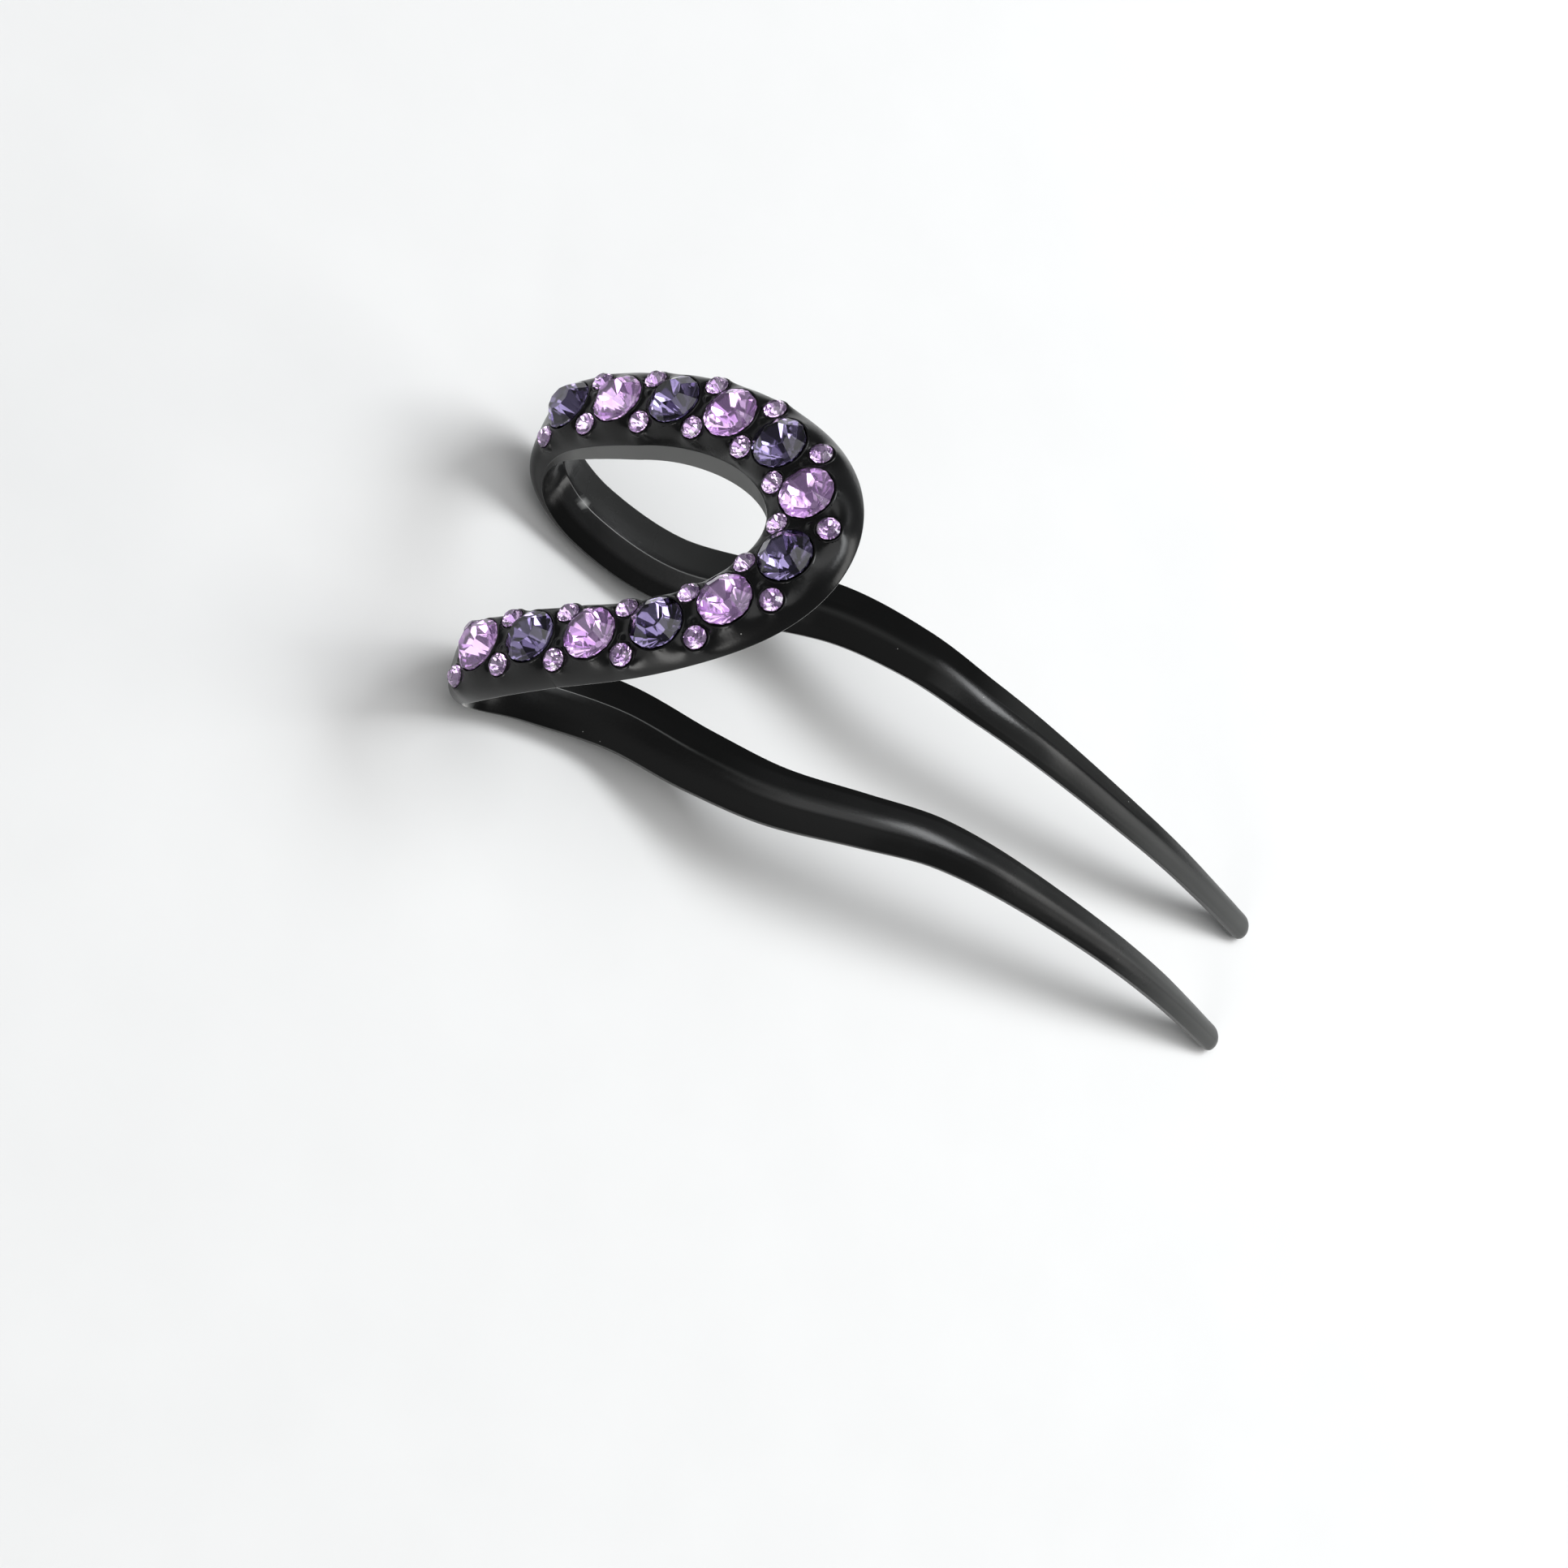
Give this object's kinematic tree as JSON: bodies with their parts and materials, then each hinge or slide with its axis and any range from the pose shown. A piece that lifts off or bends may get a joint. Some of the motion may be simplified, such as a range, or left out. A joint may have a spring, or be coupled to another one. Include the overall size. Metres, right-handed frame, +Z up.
{
  "type": "u-shaped hairpin",
  "caption": "One-piece moulded U-shaped hairpin with its closed end folded back over two long prongs, its front band set with a row of cut stones between two rows of small ones.",
  "frame": {"origin": "middle of the bounding box, on the floor that the folds and the prong tips stand on", "axes": "+X from the folds towards the closed end and the prong tips, +Z up, Y across the two legs"},
  "size_m": [0.13, 0.0448, 0.0555],
  "materials": {
    "black_plastic": "glossy moulded black plastic with fine scratches",
    "violet_stone": "foil-backed dark violet cut glass",
    "lilac_stone": "foil-backed lilac cut glass",
    "pale_lilac_stone": "foil-backed pale lilac cut glass"
  },
  "bodies": {
    "root": {"pin": "black_plastic", "large_stone_1": "violet_stone", "large_stone_2": "lilac_stone", "large_stone_3": "violet_stone", "large_stone_4": "lilac_stone", "large_stone_5": "violet_stone", "large_stone_6": "lilac_stone", "large_stone_7": "violet_stone", "large_stone_8": "lilac_stone", "large_stone_9": "violet_stone", "large_stone_10": "lilac_stone", "large_stone_11": "violet_stone", "large_stone_12": "lilac_stone", "small_stone_1": "pale_lilac_stone", "small_stone_2": "pale_lilac_stone", "small_stone_3": "pale_lilac_stone", "small_stone_4": "pale_lilac_stone", "small_stone_5": "pale_lilac_stone", "small_stone_6": "pale_lilac_stone", "small_stone_7": "pale_lilac_stone", "small_stone_8": "pale_lilac_stone", "small_stone_9": "pale_lilac_stone", "small_stone_10": "pale_lilac_stone", "small_stone_11": "pale_lilac_stone", "small_stone_12": "pale_lilac_stone", "small_stone_13": "pale_lilac_stone", "small_stone_14": "pale_lilac_stone", "small_stone_15": "pale_lilac_stone", "small_stone_16": "pale_lilac_stone", "small_stone_17": "pale_lilac_stone", "small_stone_18": "pale_lilac_stone", "small_stone_19": "pale_lilac_stone", "small_stone_20": "pale_lilac_stone", "small_stone_21": "pale_lilac_stone", "small_stone_22": "pale_lilac_stone", "small_stone_23": "pale_lilac_stone", "small_stone_24": "pale_lilac_stone", "small_stone_25": "pale_lilac_stone", "small_stone_26": "pale_lilac_stone"}
  },
  "joints": []
}
